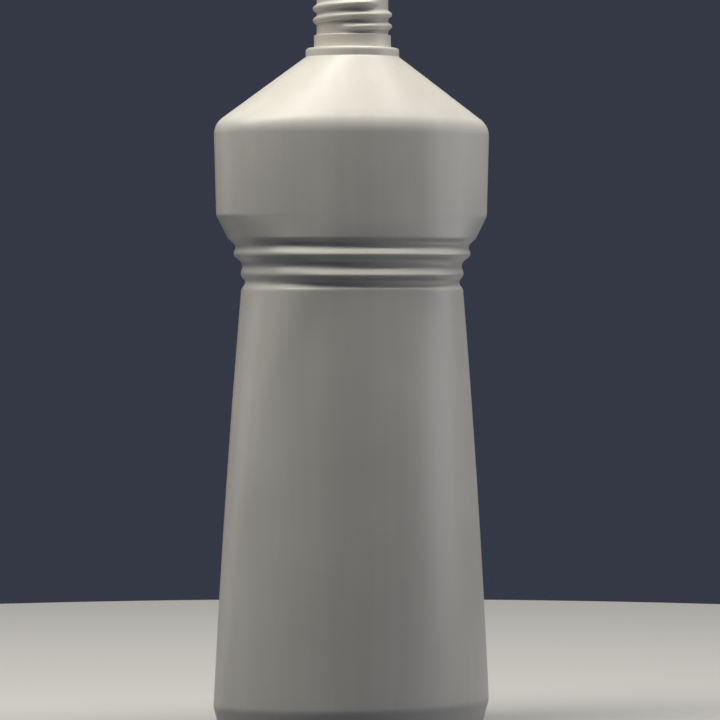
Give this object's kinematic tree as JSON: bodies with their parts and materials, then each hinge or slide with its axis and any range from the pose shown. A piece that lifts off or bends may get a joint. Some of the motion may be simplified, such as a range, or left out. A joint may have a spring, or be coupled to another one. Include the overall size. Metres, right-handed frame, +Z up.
{
  "type": "all-purpose cleaner bottle",
  "caption": "Hollow oval plastic bottle with a tapered body, ribbed grip, sloping shoulder and a threaded open neck.",
  "frame": {"origin": "middle of the foot, on the plane the bottle stands on", "axes": "+Z up through the neck, +X along the wide side, -Y is the front of the picture"},
  "size_m": [0.1, 0.0634, 0.2576],
  "materials": {
    "white_polyethylene": "satin moulded, opaque"
  },
  "bodies": {
    "root": {"bottle": "white_polyethylene"}
  },
  "joints": []
}
